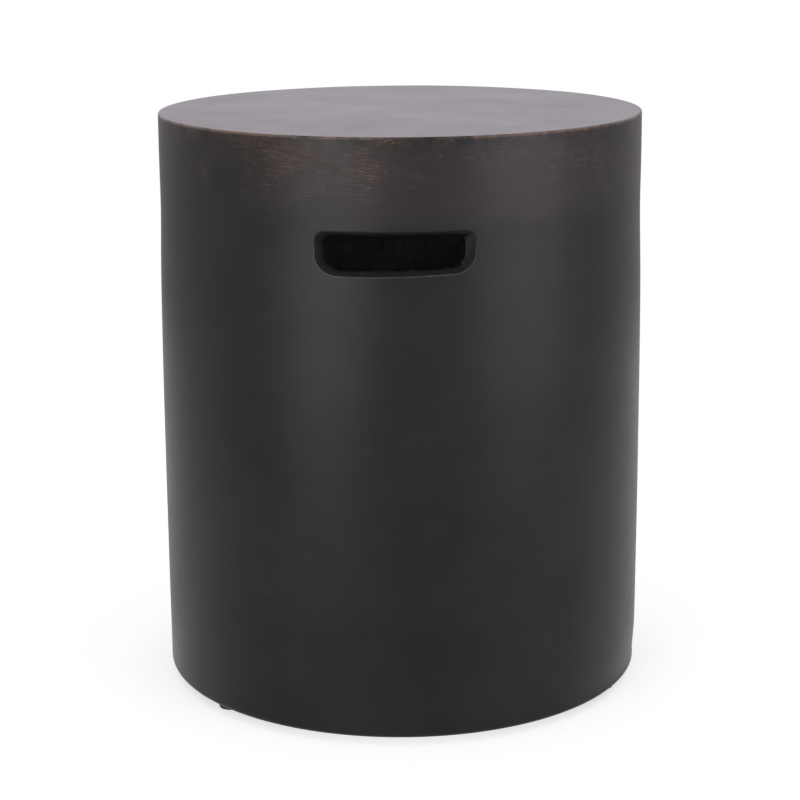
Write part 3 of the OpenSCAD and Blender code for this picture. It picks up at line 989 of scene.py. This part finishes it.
def turnedSteel(name, seed):
    # zinc-plated, with a fine grain drawn out flat and a few dull stains
    material, bench, place = shaderBench(name)
    grain = bench.noise(place, (1.4, 1.4, 1.4 / 6), seed / 1.4, detail=3.0)
    stain = bench.noise(place, 4.0, seed + 1, detail=4.0, rough=0.65)
    base = bench.mixed(stain.between(0.45, 0.75) * 0.7, plated[name], plated["stain"])
    roughness = plated["roughness"] + 0.18 * grain + 0.15 * stain.between(0.5, 0.8)
    coated(bench, base, roughness, grain, 0.02, 0.5, metal=1.0 - 0.25 * stain.between(0.6, 0.8))
    return material


def plugNylon():
    material, bench, place = shaderBench("plugNylon")
    flow = bench.noise(place, 5.0, 51.0, detail=3.0)
    grain = bench.noise(place, 0.6, 52.0)
    base = bench.mixed(flow, moulded["dark"], moulded["pale"])
    coated(bench, base, moulded["roughness"] + 0.1 * flow, grain, 0.02, 0.5, gloss=1.53)
    return material


# Studio: plain pale floor, white surround, two soft boxes; the camera stands where the photo was taken
studio = {
    "lens": 91.54, "distance": 1.69495, "height": 0.6607, "turn": 1.3, "aim": 0.0461,
    "down": 14.221, "roll": -0.347,
    # strength of the surround for light, and its tint in reflections
    "ambient": 0.58, "mirroredTint": colour(0.99, 0.95, 1.02),
    # strength of the floor in reflections, and how much of it goes behind the object, left and right
    "mirrored": 0.75, "dimLeft": 0.80, "dimRight": 0.47, "floorHalf": 20.0,
    "floorColour": colour(0.80, 0.80, 0.80),
    # share of the floor's real shading near the object, more of it beside the base, both with
    # where they end and are full, in metres from the middle, and how bright the open paper is
    "floorShade": 0.60, "shadeReach": (1.6, 0.5), "floorContact": 0.38, "contactReach": (0.265, 0.212),
    "floorLit": 0.41,
}
# turn round the drum from the front, distance, height of the middle, width, height and power
softBoxes = [
    {"name": "softBoxLeft", "turn": -31.0, "away": 2.1, "middle": 0.30, "wide": 1.15, "tall": 0.52,
     "power": 14.5, "tint": (0.96, 0.96, 1.0)},
    {"name": "softBoxRight", "turn": 55.0, "away": 2.1, "middle": 0.30, "wide": 1.50, "tall": 0.52,
     "power": 13.6, "tint": (0.97, 0.92, 1.0)},
]


def setCamera():
    lens = bpy.data.cameras.new("photoCamera")
    lens.lens, lens.sensor_width = studio["lens"], 36.0
    lens.clip_start, lens.clip_end = 0.05, 100.0
    camera = added("photoCamera", lens)
    turn = math.radians(studio["turn"])
    place = Vector(spot(studio["distance"], turn, studio["height"]))
    aim = Matrix.Rotation(turn + math.radians(studio["aim"]), 4, "Z")
    pitch = Matrix.Rotation(math.radians(90 - studio["down"]), 4, "X")
    roll = Matrix.Rotation(math.radians(studio["roll"]), 4, "Z")
    camera.matrix_world = Matrix.Translation(place) @ aim @ pitch @ roll
    bpy.context.scene.camera = camera


def setLights():
    for box in softBoxes:
        lamp = bpy.data.lights.new(box["name"], "AREA")
        lamp.shape, lamp.size, lamp.size_y = "RECTANGLE", box["wide"], box["tall"]
        lamp.energy, lamp.color = box["power"], box["tint"]
        light = added(box["name"], lamp)
        outward = Vector(spot(box["away"], math.radians(box["turn"])))
        light.location = outward + Vector((0, 0, box["middle"]))
        light.rotation_euler = outward.to_track_quat("Z", "Y").to_euler()


def setSurround():
    world = bpy.data.worlds.new("surround")
    world.use_nodes = True
    world.node_tree.nodes.clear()
    bench = Bench(world.node_tree)
    path = bench.node("ShaderNodeLightPath")
    shown = (path + path["Is Glossy Ray"] + path["Is Transmission Ray"]).clamped()
    strength = studio["ambient"] + (1 - studio["ambient"]) * shown
    tint = bench.mixed(path["Is Glossy Ray"], colour(1, 1, 1), studio["mirroredTint"])
    sky = bench.node("ShaderNodeBackground", {}, {"Color": tint, "Strength": strength})
    bench.node("ShaderNodeOutputWorld", {}, {"Surface": sky})
    bpy.context.scene.world = world


def layFloor():
    half = studio["floorHalf"]
    mesh = bpy.data.meshes.new("studioFloor")
    corners = [(-half, -half, 0), (half, -half, 0), (half, half, 0), (-half, half, 0)]
    mesh.from_pydata(corners, [], [(0, 1, 2, 3)])
    floor = added("studioFloor", mesh)
    material, bench, place = shaderBench("studioPaper")
    x, y, _ = bench.parts(bench.scaled(place, mm))
    away = bench.root(x * x + y * y)
    aside = x / away
    contact = away.between(*studio["contactReach"]) * (aside * aside * 1.3).least(1)
    shade = studio["floorShade"] * away.between(*studio["shadeReach"]) + studio["floorContact"] * contact
    path = bench.node("ShaderNodeLightPath")
    # behind the object the mirrored floor gets darker with distance, most of all on the left
    dim = aside.between(-0.2, -0.6) * studio["dimLeft"] + aside.between(0.2, 0.6) * studio["dimRight"]
    behind = (0.36 + 0.64 * away.between(0.8, 2.2)) * (y / away).between(0.0, 0.3)
    mirrored = studio["mirrored"] * (1 - dim * behind)
    shown = (path + (path["Is Glossy Ray"] + path["Is Transmission Ray"]) * mirrored).clamped()
    # the glow makes up for what the mixed-in paper lacks, so open floor is white and shadow is not
    strength = (1 - shade * studio["floorLit"]) / (1 - shade)
    paper = bench.node("ShaderNodeBsdfDiffuse", {}, {"Color": studio["floorColour"]})
    tint = bench.mixed(path["Is Glossy Ray"] * behind, colour(1, 1, 1), studio["mirroredTint"])
    glow = bench.node("ShaderNodeEmission", {}, {"Color": bench.scaled(tint, strength)})
    lit = bench.node("ShaderNodeMixShader", {}, {0: shown * (1 - shade), 1: paper, 2: glow})
    # clear from below, so that the underside can be seen
    under = bench.node("ShaderNodeNewGeometry")["Backfacing"]
    clear = bench.node("ShaderNodeBsdfTransparent")
    both = bench.node("ShaderNodeMixShader", {}, {0: under, 1: lit, 2: clear})
    bench.node("ShaderNodeOutputMaterial", {}, {"Surface": both})
    mesh.materials.append(material)


setCamera()
setLights()
setSurround()
layFloor()
bpy.context.scene.view_settings.view_transform = "Standard"
print("studio set")

concrete, inside = paintedConcrete(), bareConcrete()
netFinish, rubber = glassNet(), footRubber()
washerSteel, screwSteel = turnedSteel("washerSteel", 61.0), turnedSteel("screwSteel", 63.0)
nylon = plugNylon()

# piece, the CAD nodes that it stands for, and the name of its material slot
pieces = [
    (workByHand(castDrum(), concrete, inside), ["cast_drum"], "cast_concrete"),
    (layWallNet(netFinish), ["wall_cloth"], "glass_cloth"),
    (layTopNet(netFinish), ["top_cloth"], "glass_cloth"),
]
sides = ("left", "right", "back")
for shape, material, ownTurn, node, slot in (
        (padShape, rubber, 0.0, "foot_pad_", "foot_rubber"),
        (washerShape, washerSteel, 0.0, "foot_washer_", "washer_steel"),
        (screwShape, screwSteel, 37.0, "foot_screw_", "screw_steel")):
    pieces.append((seatAtFeet(shape(), material, ownTurn), [node + side for side in sides], slot))
for piece, nodes, slot in pieces:
    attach(piece, "root")
    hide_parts(*nodes)
    triangles = sum(len(p.vertices) - 2 for p in piece.data.polygons)
    print(piece.name, "stands for", ", ".join(nodes), "-", triangles, "triangles")
for side in sides:
    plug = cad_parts["foot_plug_" + side]
    plug.data.materials.clear()
    plug.data.materials.append(nylon)
print("pieces dressed")
